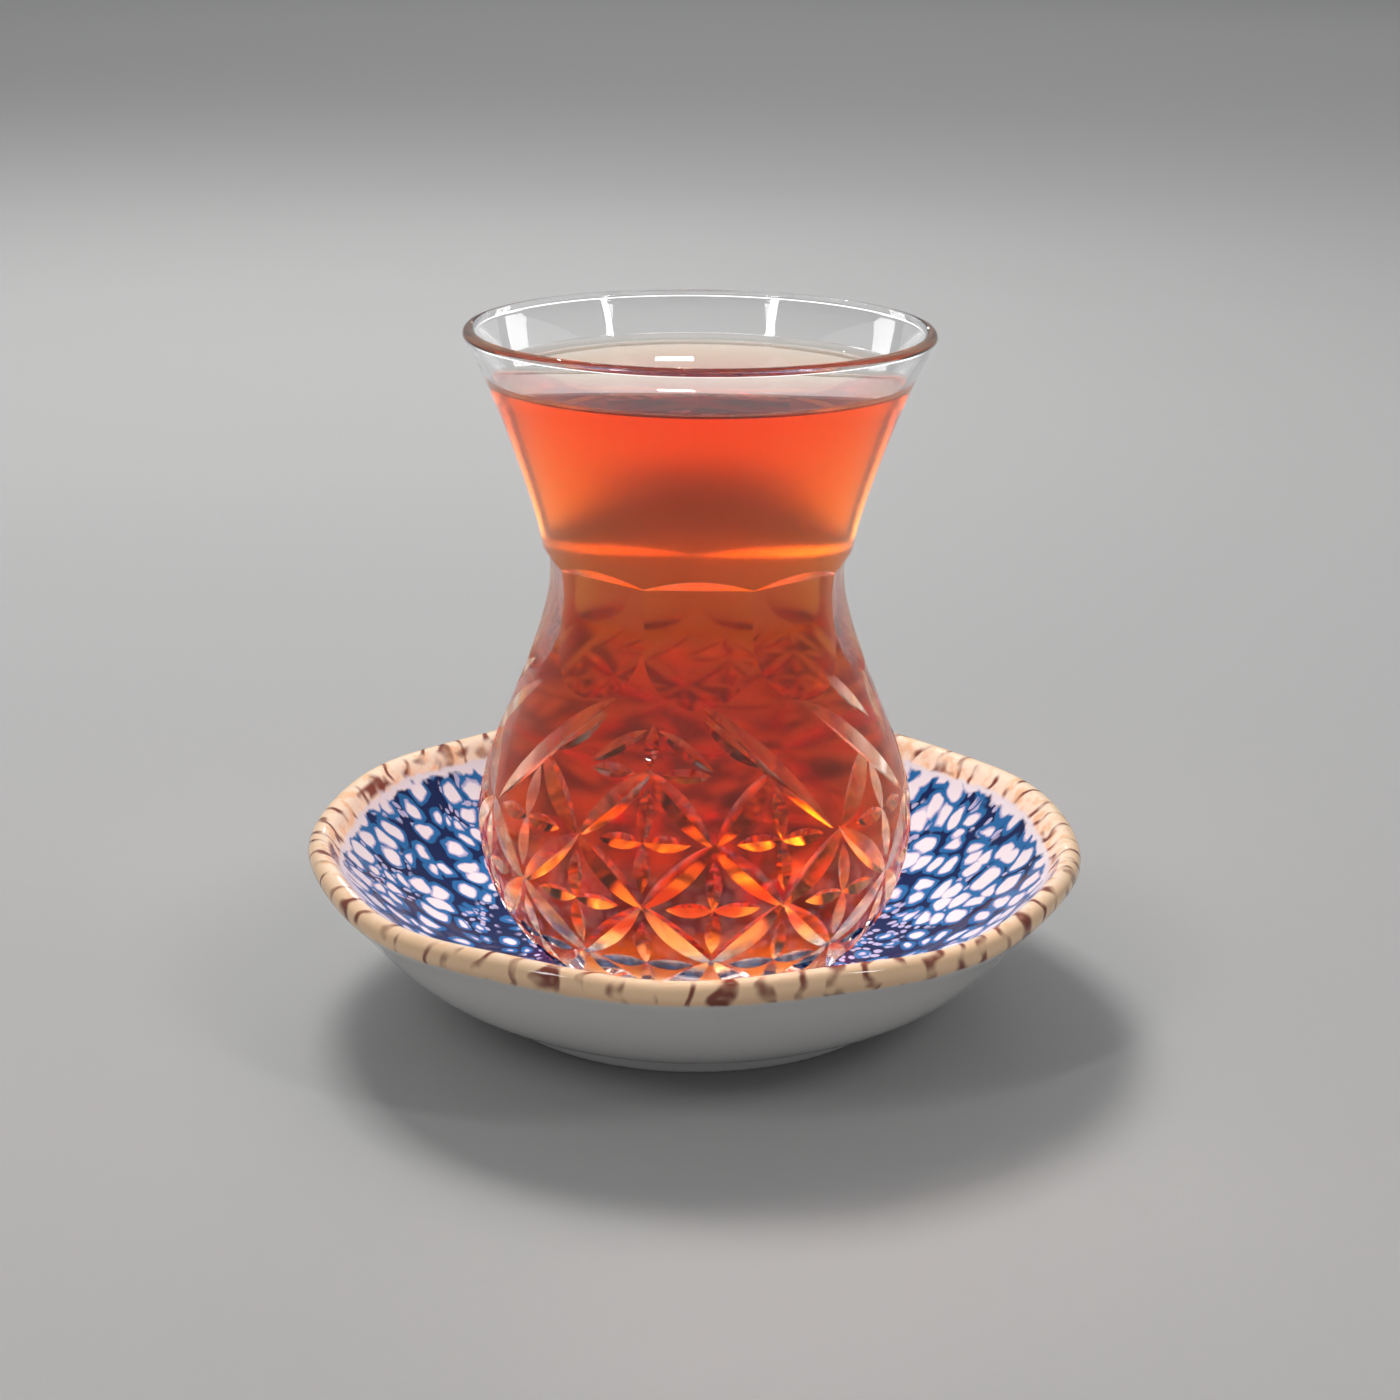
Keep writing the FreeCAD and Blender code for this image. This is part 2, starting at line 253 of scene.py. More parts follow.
def inner_outline(count=130):
    inside_belly = BELLY_RADIUS - BELLY_WALL
    return spline([
        (INSIDE_FLAT, BASE_THICKNESS),
        (INSIDE_RISE_SHARE * inside_belly, BASE_THICKNESS + INSIDE_RISE),
        (INSIDE_LOW_SHARE * inside_belly, (BASE_THICKNESS + BELLY_HEIGHT) / 2),
        (inside_belly, BELLY_HEIGHT + INSIDE_BELLY_LIFT),
        (SHOULDER_RADIUS - (BELLY_WALL + WAIST_WALL) / 2, SHOULDER_HEIGHT),
        (WAIST_RADIUS - WAIST_WALL, WAIST_HEIGHT),
        (FLARE_RADIUS - (WAIST_WALL + MOUTH_WALL) / 2, FLARE_HEIGHT),
        (MOUTH_RADIUS - MOUTH_WALL, GLASS_HEIGHT - MOUTH_WALL / 2),
    ], count, first_slope=(1, 0), last_slope=(MOUTH_LEAN, 1))


def wall_with_contact(count=150):
    """The inner outline with a station of its own at the height of the tea's edge."""
    wall = inner_outline(count)
    heights = [height for _, height in wall]
    radii = [radius for radius, _ in wall]
    contact = (float(np.interp(CONTACT, heights, radii)), CONTACT)
    return sorted(wall + [contact], key=lambda station: (station[1], station[0]))


OUTER = outer_outline(600)
OUTER_HEIGHTS = [height for _, height in OUTER]
OUTER_RADII = [radius for radius, _ in OUTER]


def skin_radius(height):
    return float(np.interp(height, OUTER_HEIGHTS, OUTER_RADII))


def skin_point(angle, height):
    turn = math.radians(angle)
    radius = skin_radius(height)
    return Vector((radius * math.cos(turn), radius * math.sin(turn), height))


def skin_normal(angle, height):
    step = 0.2
    slope = (skin_radius(height + step) - skin_radius(height - step)) / (2 * step)
    turn = math.radians(angle)
    return Vector((math.cos(turn), math.sin(turn), -slope)).normalized()


def leaf(start, end, depth):
    """Vertices and faces of the wedge that cuts one leaf between two (angle, height) places."""
    first, last = skin_point(*start), skin_point(*end)
    middle = ((start[0] + end[0]) / 2, (start[1] + end[1]) / 2)
    normal = skin_normal(*middle)
    keel = skin_point(*middle) - normal * depth
    chord = last - first
    along = (chord - normal * chord.dot(normal)).normalized()
    across = normal.cross(along)
    sag = ((first + last) / 2 - keel).dot(normal)
    if abs(sag) < SHALLOWEST_SAG:
        sag = SHALLOWEST_SAG
    half = chord.length / 2
    radius = (half * half + sag * sag) / (2 * abs(sag))
    side = 1.0 if sag > 0 else -1.0
    hub = keel + normal * (side * radius)
    reach = depth + CUTTER_CLEARANCE
    half_width = reach * math.tan(math.radians(CUT_HALF_ANGLE))
    sweep = math.asin(min(STEEPEST_SWEEP, CUTTER_OVERRUN * half / radius))
    vertices = []
    for step in range(KEEL_STEPS + 1):
        turn = sweep * (2 * step / KEEL_STEPS - 1)
        spoke = -side * normal * math.cos(turn) + along * math.sin(turn)
        bottom = hub + spoke * radius
        top = bottom - spoke * (side * reach)
        vertices += [bottom, top + across * half_width, top - across * half_width]
    faces = [(0, 1, 2)]
    for step in range(KEEL_STEPS):
        low, high = 3 * step, 3 * step + 3
        for corner in range(3):
            other = (corner + 1) % 3
            faces.append((low + corner, high + corner, high + other, low + other))
    end_ring = 3 * KEEL_STEPS
    faces.append((end_ring + 2, end_ring + 1, end_ring))
    return vertices, faces


def arc_through(first, middle, last, count):
    """Points of the round arc through three (radius, height) places."""
    ax, ay = first
    bx, by = middle
    cx, cy = last
    twice = 2 * (ax * (by - cy) + bx * (cy - ay) + cx * (ay - by))
    aa, bb, cc = ax * ax + ay * ay, bx * bx + by * by, cx * cx + cy * cy
    hub_x = (aa * (by - cy) + bb * (cy - ay) + cc * (ay - by)) / twice
    hub_y = (aa * (cx - bx) + bb * (ax - cx) + cc * (bx - ax)) / twice
    radius = math.hypot(ax - hub_x, ay - hub_y)
    start = math.degrees(math.atan2(ay - hub_y, ax - hub_x)) % 360
    end = math.degrees(math.atan2(cy - hub_y, cx - hub_x)) % 360
    return arc_points((hub_x, hub_y), radius, start, end, count)


def grinder(angle):
    """Vertices and faces of the tool that grinds one broad flat into the waist."""
    bottom = (skin_radius(PANEL_BOTTOM), PANEL_BOTTOM)
    middle = (skin_radius(PANEL_MIDDLE) - PANEL_DEPTH, PANEL_MIDDLE)
    top = (skin_radius(PANEL_TOP) - PANEL_DEPTH, PANEL_TOP)
    ledge = (top[0] + PANEL_LEDGE, top[1] + PANEL_LEDGE)
    section = arc_through(bottom, middle, top, PANEL_STEPS)
    section += [ledge, (ledge[0] + PANEL_REACH, ledge[1]), (bottom[0] + PANEL_REACH, bottom[1])]
    turn = math.radians(angle)
    out = Vector((math.cos(turn), math.sin(turn), 0.0))
    across = Vector((-math.sin(turn), math.cos(turn), 0.0))
    vertices = []
    for side in (-1, 1):
        for radius, height in section:
            vertices.append(out * radius + across * (side * PANEL_WIDTH / 2) + Vector((0, 0, height)))
    steps = len(section)
    faces = [tuple(range(steps)), tuple(range(2 * steps - 1, steps - 1, -1))]
    for step in range(steps):
        after = (step + 1) % steps
        faces.append((step, step + steps, after + steps, after))
    return vertices, faces


def arm_groups():
    """Diagonal arms of the lattice, grouped so that those in one group don't touch."""
    replaced = set()
    for repeat, side in ((1, 1), (2, 1), (4, -1), (3, -1)):
        replaced.add((repeat, side))
        replaced.add((repeat + REPEATS // 2, side))
    groups = {}
    run = ARM_OVERRUN / ROW_PITCH
    for row in range(ROWS):
        upper = LATTICE_TOP - row * ROW_PITCH
        lower = upper - ROW_PITCH
        shift = LATTICE_ANGLE + (row % 2) * PITCH / 2
        for repeat in range(REPEATS):
            angle = shift + repeat * PITCH
            for side in (-1, 1):
                if row == 0 and (repeat, side) in replaced:
                    continue
                start = (angle - side * run * PITCH / 2, upper + ARM_OVERRUN)
                end = (angle + side * (1 + run) * PITCH / 2, max(lower - ARM_OVERRUN, LOWEST_ARM_END))
                groups.setdefault((row % 2, side), []).append(leaf(start, end, ARM_DEPTH))
    return list(groups.values())


def star_groups():
    """The four leaves of the star in the middle of each diamond."""
    groups = {}
    for row in range(1, ROWS):
        height = LATTICE_TOP - row * ROW_PITCH
        shift = LATTICE_ANGLE + ((row + 1) % 2) * PITCH / 2
        degree = math.degrees(1.0 / skin_radius(height))
        near, far = -STAR_OVERRUN * degree, STAR_SIDE_LENGTH * degree
        for repeat in range(REPEATS):
            angle = shift + repeat * PITCH
            for side in (-1, 1):
                sideways = leaf(
                    (angle + side * near, height), (angle + side * far, height), STAR_DEPTH)
                groups.setdefault(("side", side), []).append(sideways)
                tip = height + side * STAR_UPRIGHT_LENGTH
                if tip > FOOT_ROUNDING:
                    upright = leaf(
                        (angle, height - side * STAR_OVERRUN), (angle, tip), STAR_DEPTH)
                    groups.setdefault(("upright", side), []).append(upright)
    return list(groups.values())


def spray_groups():
    """Leaves above the lattice: two sprays that lean apart from a clear window."""
    top, row = LATTICE_TOP, ROW_PITCH
    half_leaves = [
        ((0.05 * PITCH, top + 0.56 * row), (0.52 * PITCH, top + 0.02 * row), SPRAY_SHORT_DEPTH),
        ((0.10 * PITCH, top - 0.05 * row), (0.50 * PITCH, top - 0.05 * row), SPRAY_SHORT_DEPTH),
        ((0.50 * PITCH, top + 0.95 * row), (1.53 * PITCH, top - 1.04 * row), SPRAY_DEPTH),
        ((1.46 * PITCH, top + 0.90 * row), (2.53 * PITCH, top - 1.04 * row), SPRAY_DEPTH),
        ((0.44 * PITCH, top + 0.72 * row), (0.92 * PITCH, top + 0.02 * row), SPRAY_DEPTH),
        ((1.70 * PITCH, top + 1.20 * row), (2.27 * PITCH, top + 0.28 * row), SPRAY_SHORT_DEPTH),
    ]
    middle_leaves = [
        ((0.0, top + 0.02 * row), (0.0, top + 0.62 * row), SPRAY_SHORT_DEPTH),
        ((2.5 * PITCH, top - 0.25 * row), (2.5 * PITCH, top + 0.95 * row), SPRAY_DEPTH),
    ]
    groups = []
    for start, end, depth in middle_leaves:
        group = []
        for window in (LATTICE_ANGLE, LATTICE_ANGLE + 180.0):
            group.append(leaf((window + start[0], start[1]), (window + end[0], end[1]), depth))
        groups.append(group)
    for start, end, depth in half_leaves:
        for side in (-1, 1):
            group = []
            for window in (LATTICE_ANGLE, LATTICE_ANGLE + 180.0):
                group.append(leaf(
                    (window + side * start[0], start[1]), (window + side * end[0], end[1]), depth))
            groups.append(group)
    return groups


def panel_groups():
    """The waist's flats, grouped so that neighbours are never cut together."""
    groups = [[], [], []]
    for index in range(PANELS):
        groups[index % 3].append(grinder(PANEL_ANGLE + index * 360.0 / PANELS))
    return groups


def cut(target, cutters):
    """Cuts one group of tools, which don't touch each other, out of the glass."""
    vertices, faces = [], []
    for points, sides in cutters:
        first = len(vertices)
        vertices += points
        faces += [tuple(first + corner for corner in side) for side in sides]
    tool = mesh_object("cutter", vertices, faces)
    normals_out = bpy.data.meshes.new("cutter_out")
    bm = bmesh.new()
    bm.from_mesh(tool.data)
    bmesh.ops.recalc_face_normals(bm, faces=bm.faces)
    bm.to_mesh(normals_out)
    bm.free()
    tool.data = normals_out
    change = target.modifiers.new("cut", "BOOLEAN")
    change.operation = "DIFFERENCE"
    change.solver = "MANIFOLD"
    change.object = tool
    graph = bpy.context.evaluated_depsgraph_get()
    result = bpy.data.meshes.new_from_object(target.evaluated_get(graph))
    target.modifiers.clear()
    target.data = result
    bpy.data.objects.remove(tool)


def cut_glass():
    outline = [(0.0, RECESS_DEPTH), (RECESS_RADIUS - RECESS_SLOPE, RECESS_DEPTH)]
    outline.append((RECESS_RADIUS, 0.0))
    outline.append((FOOT_RADIUS, 0.0))
    outline += arc_points((FOOT_RADIUS, FOOT_ROUNDING), FOOT_ROUNDING, -75, -15, 5)
    outline += outer_outline()
    lip = MOUTH_WALL / 2
    centre = (MOUTH_RADIUS - lip, GLASS_HEIGHT - lip)
    outline += arc_points(centre, lip, 0, 180, 17)[1:-1]
    outline += list(reversed(wall_with_contact()))
    outline.append((0.0, BASE_THICKNESS))
    glass = lathe("cut_glass", outline)
    for group in panel_groups() + arm_groups() + star_groups() + spray_groups():
        cut(glass, group)
    glass.data.materials.clear()
    glass.data.materials.append(glass_material("clear_cut_glass", GLASS_IOR, 0.0, GLASS_UNEVENNESS))
    wetted = glass_material("wetted_glass", GLASS_IOR / TEA_IOR, WETTED_ROUGHNESS, 0.0)
    glass.data.materials.append(wetted)
    wall = wall_with_contact(400)
    heights = [height for _, height in wall]
    radii = [radius for radius, _ in wall]
    for polygon in glass.data.polygons:
        polygon.use_smooth = True
        x, y, z = polygon.center / MM
        height = z - FOOT
        inside = math.hypot(x, y) < np.interp(height, heights, radii) + WALL_TOLERANCE
        under_tea = BASE_THICKNESS - WALL_TOLERANCE < height < CONTACT
        polygon.material_index = 1 if inside and under_tea else 0
    glass.data.set_sharp_from_angle(angle=math.radians(GLASS_SHARP_ANGLE))
    glass.visible_shadow = False             # light reaches the saucer through the clear glass
    return glass


# --------------------------------------------------------------------- the tea
def tea_body():
    """The drink, reaching just into the wall, with its surface drawn up along the glass."""
    wall = []
    for radius, height in wall_with_contact(200):
        sunk = TEA_INTO_WALL if radius <= INSIDE_FLAT + 1 else 0.0
        if height <= CONTACT:
            wall.append((radius + TEA_INTO_WALL, height - sunk))
    outline = [(0.0, BASE_THICKNESS - TEA_INTO_WALL)] + wall
    edge = wall[-1][0]
    side_rings = len(outline) - 1
    for step in range(MENISCUS_STEPS + 1):
        share = step / MENISCUS_STEPS
        radius = edge - TEA_INTO_WALL - MENISCUS_REACH * share
        outline.append((radius, TEA_LEVEL + MENISCUS_RISE * (1 - share) ** 3))
    outline.append((0.0, TEA_LEVEL))
    tea = lathe("brewed_tea", outline)
    free = tea.data.attributes.new(FREE_SURFACE, "FLOAT", "FACE")
    for polygon in tea.data.polygons:
        polygon.use_smooth = True
        on_top = polygon.index >= side_rings * TURN_STEPS
        free.data[polygon.index].value = 1.0 if on_top else 0.0
    tea.data.set_sharp_from_angle(angle=math.radians(TEA_SHARP_ANGLE))
    tea.visible_shadow = False
    return tea


# ------------------------------------------------------------------- materials
def new_material(name):
    material = bpy.data.materials.new(name)
    material.use_nodes = True
    nodes = material.node_tree.nodes
    nodes.clear()
    output = nodes.new("ShaderNodeOutputMaterial")
    return material, material.node_tree, output


def glass_material(name, index, roughness, unevenness):
    """Clear glass; against the tea only the ratio of the two refractive indices counts."""
    material, tree, output = new_material(name)
    shader = tree.nodes.new("ShaderNodeBsdfPrincipled")
    shader.inputs["Base Color"].default_value = (1.0, 1.0, 1.0, 1.0)
    shader.inputs["Roughness"].default_value = roughness
    shader.inputs["IOR"].default_value = index
    shader.inputs["Transmission Weight"].default_value = 1.0
    coords = tree.nodes.new("ShaderNodeTexCoord")
    noise = tree.nodes.new("ShaderNodeTexNoise")
    noise.inputs["Scale"].default_value = 90.0
    noise.inputs["Detail"].default_value = 1.0
    bump = tree.nodes.new("ShaderNodeBump")
    bump.inputs["Strength"].default_value = unevenness
    bump.inputs["Distance"].default_value = 0.001
    tree.links.new(coords.outputs["Object"], noise.inputs["Vector"])
    tree.links.new(noise.outputs["Fac"], bump.inputs["Height"])
    tree.links.new(bump.outputs["Normal"], shader.inputs["Normal"])
    tree.links.new(shader.outputs["BSDF"], output.inputs["Surface"])
    return material


def tea_material():
    """Clear coloured tea: a water surface where it meets the air, nothing where it meets glass."""
    material, tree, output = new_material("clear_tea")
    shaders = []
    for index in (1.0, TEA_IOR):
        shader = tree.nodes.new("ShaderNodeBsdfPrincipled")
        shader.inputs["Base Color"].default_value = (1.0, 1.0, 1.0, 1.0)
        shader.inputs["Roughness"].default_value = 0.0
        shader.inputs["IOR"].default_value = index
        shader.inputs["Transmission Weight"].default_value = 1.0
        shaders.append(shader)
    mask = tree.nodes.new("ShaderNodeAttribute")
    mask.attribute_name = FREE_SURFACE
    mix = tree.nodes.new("ShaderNodeMixShader")
    volume = tree.nodes.new("ShaderNodeVolumeAbsorption")
    volume.inputs["Color"].default_value = TEA_COLOUR
    volume.inputs["Density"].default_value = TEA_DENSITY
    tree.links.new(mask.outputs["Fac"], mix.inputs["Fac"])
    tree.links.new(shaders[0].outputs["BSDF"], mix.inputs[1])
    tree.links.new(shaders[1].outputs["BSDF"], mix.inputs[2])
    tree.links.new(mix.outputs["Shader"], output.inputs["Surface"])
    tree.links.new(volume.outputs["Volume"], output.inputs["Volume"])
    return material


COLOUR_A, COLOUR_B, COLOUR_RESULT = 6, 7, 2  # the colour sockets of a mix node


class Paint:
    """Builds the node chains of one painted material; every call returns an output socket."""

    def __init__(self, tree):
        self.tree = tree
        coords = tree.nodes.new("ShaderNodeTexCoord")
        scale = tree.nodes.new("ShaderNodeVectorMath")
        scale.operation = "SCALE"
        scale.inputs["Scale"].default_value = 1.0 / MM
        tree.links.new(coords.outputs["Object"], scale.inputs["Vector"])
        self.place = scale.outputs["Vector"]
        split = tree.nodes.new("ShaderNodeSeparateXYZ")
        tree.links.new(self.place, split.inputs["Vector"])
        self.x, self.y, self.z = split.outputs["X"], split.outputs["Y"], split.outputs["Z"]

    def plug(self, value, socket):
        if isinstance(value, bpy.types.NodeSocket):
            self.tree.links.new(value, socket)
        else:
            socket.default_value = value

    def math(self, operation, first, second=0.0, third=0.0):
        node = self.tree.nodes.new("ShaderNodeMath")
        node.operation = operation
        for value, socket in zip((first, second, third), node.inputs):
            self.plug(value, socket)
        return node.outputs["Value"]

    def step(self, value, low, high):
        """Smooth step from 0 at low to 1 at high; high may be the smaller one."""
        node = self.tree.nodes.new("ShaderNodeMapRange")
        node.interpolation_type = "SMOOTHSTEP"
        self.plug(value, node.inputs["Value"])
        node.inputs["From Min"].default_value = low
        node.inputs["From Max"].default_value = high
        return node.outputs["Result"]

    def noise(self, scale, detail=1.0, place=None):
        node = self.tree.nodes.new("ShaderNodeTexNoise")
        self.plug(self.place if place is None else place, node.inputs["Vector"])
        node.inputs["Scale"].default_value = scale
        node.inputs["Detail"].default_value = detail
        return node

    def mix(self, share, first, second):
        node = self.tree.nodes.new("ShaderNodeMix")
        node.data_type = "RGBA"
        self.plug(share, node.inputs["Factor"])
        self.plug(first, node.inputs[COLOUR_A])
        self.plug(second, node.inputs[COLOUR_B])
        return node.outputs[COLOUR_RESULT]


LIP_STROKES = 74
BAND_EDGE = 50.3                             # the cream band starts at this radius
RING_EDGE = 49.6                             # and a white ring at this one
CELL_SCALE = 0.27                            # blobs per millimetre
DOT_SCALE = 0.62
WELL_EDGE = 38.0                             # the pattern darkens from here to the well
WELL_FULL = 28.0
SMUDGE_RADIUS = 51.3
HALF_RUN_START = 30.0                        # these four draw the middle of the porcelain
HALF_HEIGHT = 4.94
HALF_SLOPE = 0.1625
HALF_CURVE = 0.0258
WHITE = (0.80, 0.80, 0.85, 1.0)
LILAC = (0.42, 0.44, 0.66, 1.0)
BLUE = (0.015, 0.14, 0.38, 1.0)
NAVY = (0.003, 0.012, 0.08, 1.0)
CREAM = (0.98, 0.84, 0.66, 1.0)
PEACH = (0.92, 0.62, 0.38, 1.0)
BROWN = (0.22, 0.055, 0.035, 1.0)
UNDERSIDE = (0.70, 0.69, 0.68, 1.0)


def pebbles(paint, radius):
    """Pale uneven blobs with blue edges on navy, crowded and darker in the well."""
    warp = paint.noise(0.13, 2.0)
    shift = paint.tree.nodes.new("ShaderNodeVectorMath")
    shift.operation = "MULTIPLY_ADD"
    paint.plug(warp.outputs["Color"], shift.inputs[0])
    shift.inputs[1].default_value = (4.5, 4.5, 0.0)
    paint.plug(paint.place, shift.inputs[2])
    cells = paint.tree.nodes.new("ShaderNodeTexVoronoi")
    cells.voronoi_dimensions = "2D"
    cells.feature = "DISTANCE_TO_EDGE"
    cells.inputs["Scale"].default_value = CELL_SCALE
    paint.plug(shift.outputs["Vector"], cells.inputs["Vector"])
    seeds = paint.tree.nodes.new("ShaderNodeTexVoronoi")
    seeds.voronoi_dimensions = "2D"
    seeds.feature = "SMOOTH_F1"
    seeds.inputs["Smoothness"].default_value = 0.35
    seeds.inputs["Scale"].default_value = CELL_SCALE
    paint.plug(shift.outputs["Vector"], seeds.inputs["Vector"])
    round_off = paint.math("MULTIPLY_ADD", seeds.outputs["Distance"], -0.55, 0.29)
    blob = paint.math("MULTIPLY_ADD", cells.outputs["Distance"], 0.45, round_off)
    broad = paint.math("MULTIPLY_ADD", paint.noise(0.10).outputs["Fac"], 0.44, -0.22)
    fine = paint.math("MULTIPLY_ADD", paint.noise(0.9).outputs["Fac"], 0.08, -0.04)
    inward = paint.math("ADD", blob, paint.math("ADD", broad, fine))
    well = paint.step(radius, WELL_EDGE, WELL_FULL)
    inward = paint.math("SUBTRACT", inward, paint.math("MULTIPLY", well, 0.24))
    colour = paint.mix(paint.step(inward, -0.03, 0.05), NAVY, BLUE)
    colour = paint.mix(paint.step(inward, 0.13, 0.18), colour, LILAC)
    colour = paint.mix(paint.step(inward, 0.18, 0.24), colour, WHITE)
    dots = paint.tree.nodes.new("ShaderNodeTexVoronoi")
    dots.voronoi_dimensions = "2D"
    dots.inputs["Scale"].default_value = DOT_SCALE
    paint.plug(shift.outputs["Vector"], dots.inputs["Vector"])
    spot = paint.step(dots.outputs["Distance"], 0.36, 0.22)
    crowd = paint.step(paint.noise(0.12, 0.0).outputs["Fac"], 0.52, 0.60)
    in_gap = paint.step(inward, 0.10, 0.05)
    share = paint.math("MULTIPLY", spot, paint.math("MULTIPLY", crowd, in_gap))
    return paint.mix(share, colour, LILAC)


def lip_colour(paint, radius):
    """Cream band with brown strokes across it and dark smudges along its inner edge."""
    warmth = paint.step(paint.math("ADD", radius, paint.noise(0.3).outputs["Fac"]), 52.4, 55.2)
    blotch = paint.step(paint.noise(0.45, 2.0).outputs["Fac"], 0.45, 0.65)
    colour = paint.mix(paint.math("MAXIMUM", warmth, blotch), CREAM, PEACH)
    direction = paint.math("ARCTAN2", paint.y, paint.x)
    around = paint.math("MULTIPLY", direction, LIP_STROKES / (2 * math.pi))
    lean = paint.math("MULTIPLY", paint.math("SUBTRACT", radius, 52.0), 0.10)
    wander = paint.math("MULTIPLY", paint.noise(0.22).outputs["Fac"], 1.6)
    wave = paint.math("FRACT", paint.math("ADD", around, paint.math("ADD", lean, wander)))
    off_stroke = paint.math("ABSOLUTE", paint.math("SUBTRACT", wave, 0.5))
    stroke = paint.step(off_stroke, 0.22, 0.06)
    strength = paint.step(paint.noise(0.30).outputs["Fac"], 0.34, 0.62)
    colour = paint.mix(paint.math("MULTIPLY", stroke, strength), colour, BROWN)
    off_edge = paint.math("ABSOLUTE", paint.math("SUBTRACT", radius, SMUDGE_RADIUS))
    smudge = paint.step(off_edge, 0.9, 0.3)
    patch = paint.step(paint.noise(0.14, 2.0).outputs["Fac"], 0.52, 0.60)
    return paint.mix(paint.math("MULTIPLY", smudge, patch), colour, BROWN)


def glaze_material():
    material, tree, output = new_material("painted_glaze")
    paint = Paint(tree)
    x_squared = paint.math("MULTIPLY", paint.x, paint.x)
    y_squared = paint.math("MULTIPLY", paint.y, paint.y)
    radius = paint.math("SQRT", paint.math("ADD", x_squared, y_squared))
    wobble = paint.math("MULTIPLY_ADD", paint.noise(0.35, 2.0).outputs["Fac"], 2.4, -1.2)
    ring = paint.step(paint.math("ADD", radius, wobble), RING_EDGE, RING_EDGE + 0.5)
    inside = paint.mix(ring, pebbles(paint, radius), WHITE)
    band_place = paint.math("ADD", radius, paint.math("MULTIPLY", wobble, 0.4))
    band = paint.step(band_place, BAND_EDGE, BAND_EDGE + 0.5)
    painted = paint.mix(band, inside, lip_colour(paint, radius))
    # A surface halfway through the porcelain tells the painted side from the plain underside.
    run = paint.math("MAXIMUM", paint.math("SUBTRACT", radius, HALF_RUN_START), 0.0)
    sloped = paint.math("MULTIPLY_ADD", run, HALF_SLOPE, HALF_HEIGHT)
    half = paint.math("MULTIPLY_ADD", paint.math("MULTIPLY", run, run), HALF_CURVE, sloped)
    upper = paint.step(paint.math("SUBTRACT", paint.z, half), -0.2, 0.2)
    lip_place = paint.math("ADD", paint.z, paint.math("MULTIPLY", wobble, 0.3))
    on_lip = paint.step(lip_place, 20.6, 21.3)
    colour = paint.mix(paint.math("MAXIMUM", upper, on_lip), UNDERSIDE, painted)
    shader = tree.nodes.new("ShaderNodeBsdfPrincipled")
    paint.plug(colour, shader.inputs["Base Color"])
    shader.inputs["Roughness"].default_value = 0.09
    shader.inputs["IOR"].default_value = 1.5
    tree.links.new(shader.outputs["BSDF"], output.inputs["Surface"])
    return material


def floor_material():
    material, tree, output = new_material("pale_floor")
    shader = tree.nodes.new("ShaderNodeBsdfPrincipled")
    shader.inputs["Base Color"].default_value = (0.46, 0.455, 0.45, 1.0)
    shader.inputs["Roughness"].default_value = 0.6
    tree.links.new(shader.outputs["BSDF"], output.inputs["Surface"])
    return material


# ----------------------------------------------------------------- the staging
def floor():
    size = 4.0
    mesh = bpy.data.meshes.new("floor")
    mesh.from_pydata(
        [(-size, -size, 0), (size, -size, 0), (size, size, 0), (-size, size, 0)], [], [(0, 1, 2, 3)])
    made = bpy.data.objects.new("floor", mesh)
    bpy.context.scene.collection.objects.link(made)
    made.data.materials.append(floor_material())
    return made


def softbox(name, place, target, size, power, mirrored=True, lights_floor=True):
    """Rectangular light, never seen directly; glossy and matt surfaces can be kept from it."""
    light = bpy.data.lights.new(name, "AREA")
    light.shape = "RECTANGLE"
    light.size, light.size_y = size
    light.energy = power
    made = bpy.data.objects.new(name, light)
    bpy.context.scene.collection.objects.link(made)
    made.location = place
    aim = Vector(target) - Vector(place)
    made.rotation_euler = aim.to_track_quat("-Z", "Y").to_euler()
    made.visible_camera = False
    made.visible_glossy = mirrored
    made.visible_diffuse = lights_floor
    return made


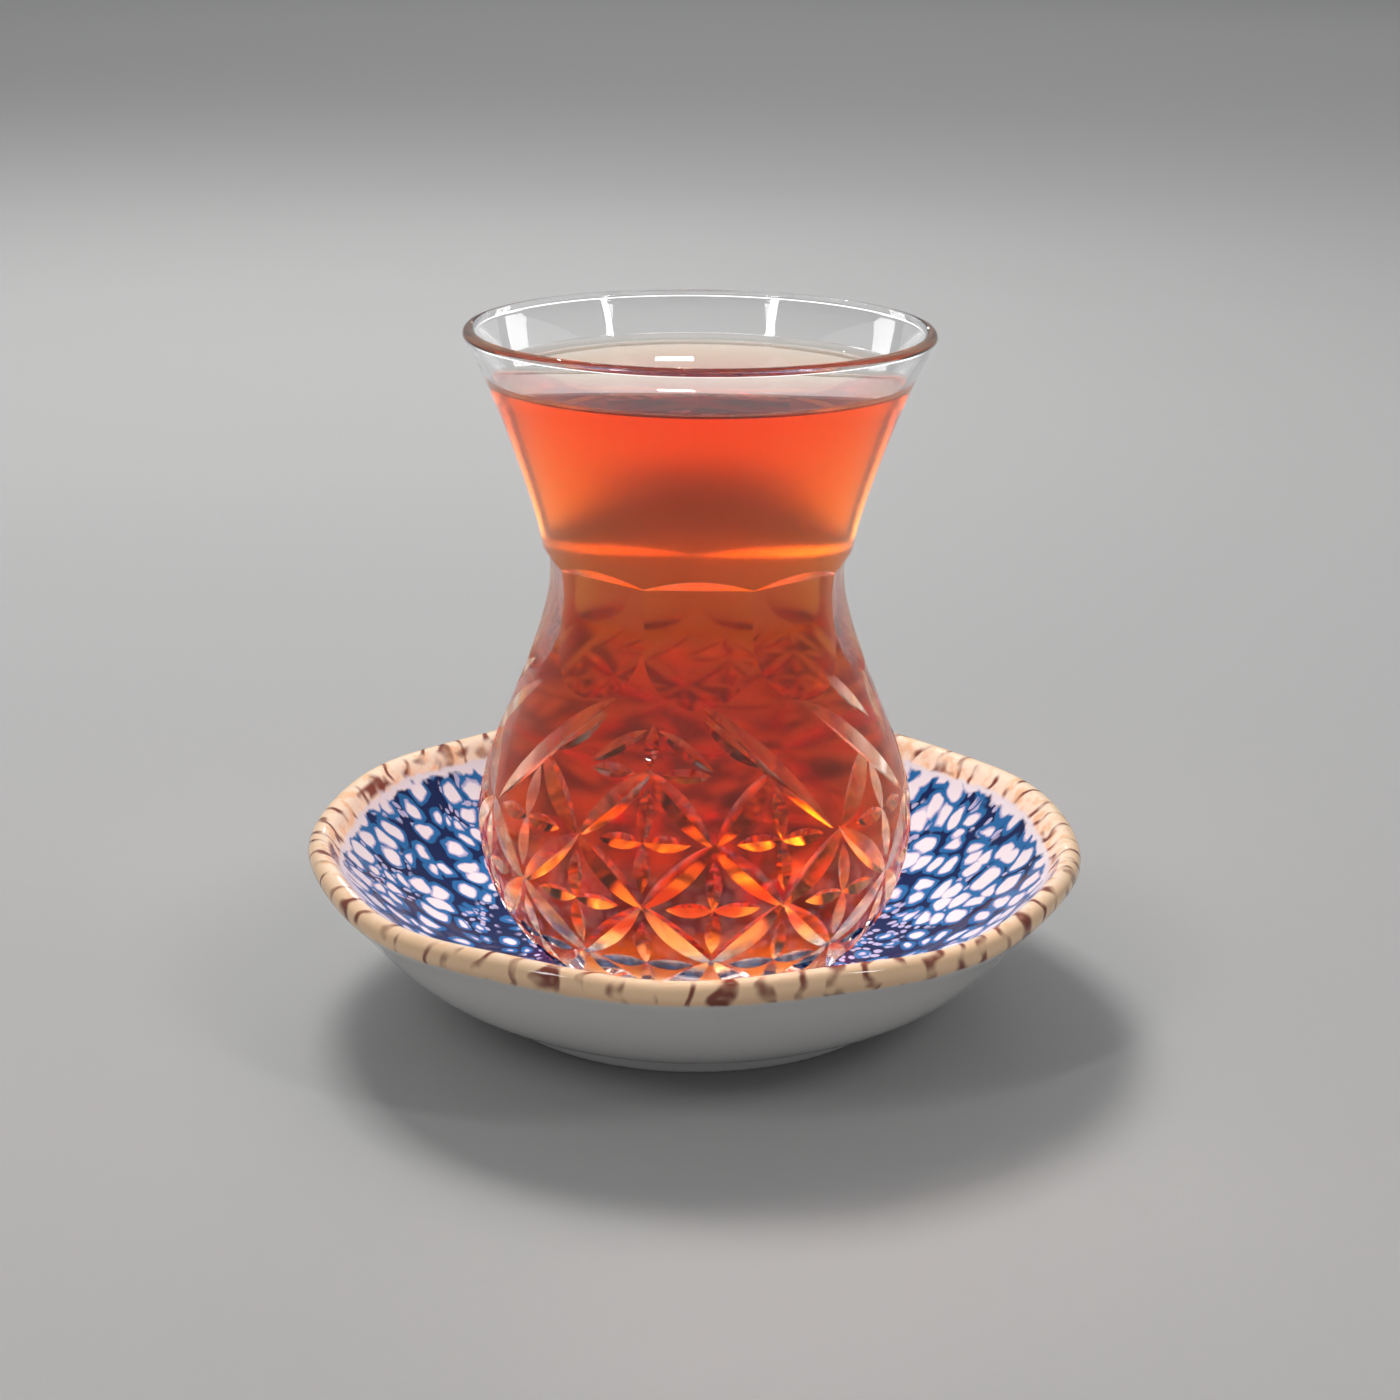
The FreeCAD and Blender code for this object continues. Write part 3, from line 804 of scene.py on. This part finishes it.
def studio():
    world = bpy.data.worlds.new("studio")
    bpy.context.scene.world = world
    world.use_nodes = True
    background = world.node_tree.nodes["Background"]
    background.inputs["Color"].default_value = (0.95, 0.97, 1.0, 1.0)
    background.inputs["Strength"].default_value = 0.28
    behind = (0.0, 0.22, 0.0)
    middle = (0.0, 0.0, 0.06)
    softbox("key", (-0.25, 0.60, 0.90), behind, (0.30, 0.30), 7.0, False)
    softbox("far_floor", (0.0, 2.20, 1.60), (0.0, 2.20, 0.0), (2.00, 1.50), 10.0, False)
    for index, (x, y) in enumerate(((0.0, 1.3), (0.0, -1.3), (1.3, 0.0), (-1.3, 0.0))):
        softbox("panel_%d" % index, (x, y, 0.475), (0.0, 0.0, 0.475), (2.20, 0.79), 6.1, False, False)
    softbox("canopy", (0.0, 0.30, 1.30), middle, (1.60, 1.40), 22.0, False, False)
    softbox("left_back", (-0.90, 0.60, 0.35), middle, (0.30, 0.60), 4.0, False, False)
    softbox("right_back", (0.90, 0.60, 0.35), middle, (0.30, 0.60), 4.0, False, False)
    softbox("back_lamp", (-0.015, 0.90, 0.28), middle, (0.020, 0.008), 0.1)
    softbox("left_lamp", (-0.45, -0.45, 0.60), middle, (0.06, 0.30), 1.0)
    softbox("right_lamp", (0.50, -0.30, 0.55), middle, (0.04, 0.20), 0.7)
    for index, across in enumerate((-0.19, -0.13, -0.10, -0.02)):
        softbox("sparkle_%d" % index, (across, 0.55, 0.60), middle, (0.014, 0.012), 0.08)


CAMERA_LENS = 67.05
CAMERA_PLACE = (0.00055, -0.350, 0.06006)    # the last value is the height over the rim
CAMERA_PITCH = 0.3126
CAMERA_ROLL = 0.01159


def camera():
    x, y, over_rim = CAMERA_PLACE
    data = bpy.data.cameras.new("camera")
    data.sensor_width = 36.0
    data.lens = CAMERA_LENS
    data.clip_start = 0.01
    made = bpy.data.objects.new("camera", data)
    bpy.context.scene.collection.objects.link(made)
    made.matrix_world = (
        Matrix.Translation((x, y, glass_high.z + over_rim))
        @ Matrix.Rotation(math.pi / 2 - CAMERA_PITCH, 4, "X")
        @ Matrix.Rotation(CAMERA_ROLL, 4, "Z"))
    bpy.context.scene.camera = made


camera()
glass = cut_glass()
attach(glass, "root")
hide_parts("tea_glass")

tea = tea_body()
tea.data.materials.append(tea_material())
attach(tea, "root")
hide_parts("tea")

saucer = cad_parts["saucer"]
saucer.data.materials.clear()
saucer.data.materials.append(glaze_material())

floor()
studio()
scene = bpy.context.scene
scene.view_settings.view_transform = "Standard"
scene.cycles.max_bounces = 24
scene.cycles.transmission_bounces = 24
scene.cycles.glossy_bounces = 8
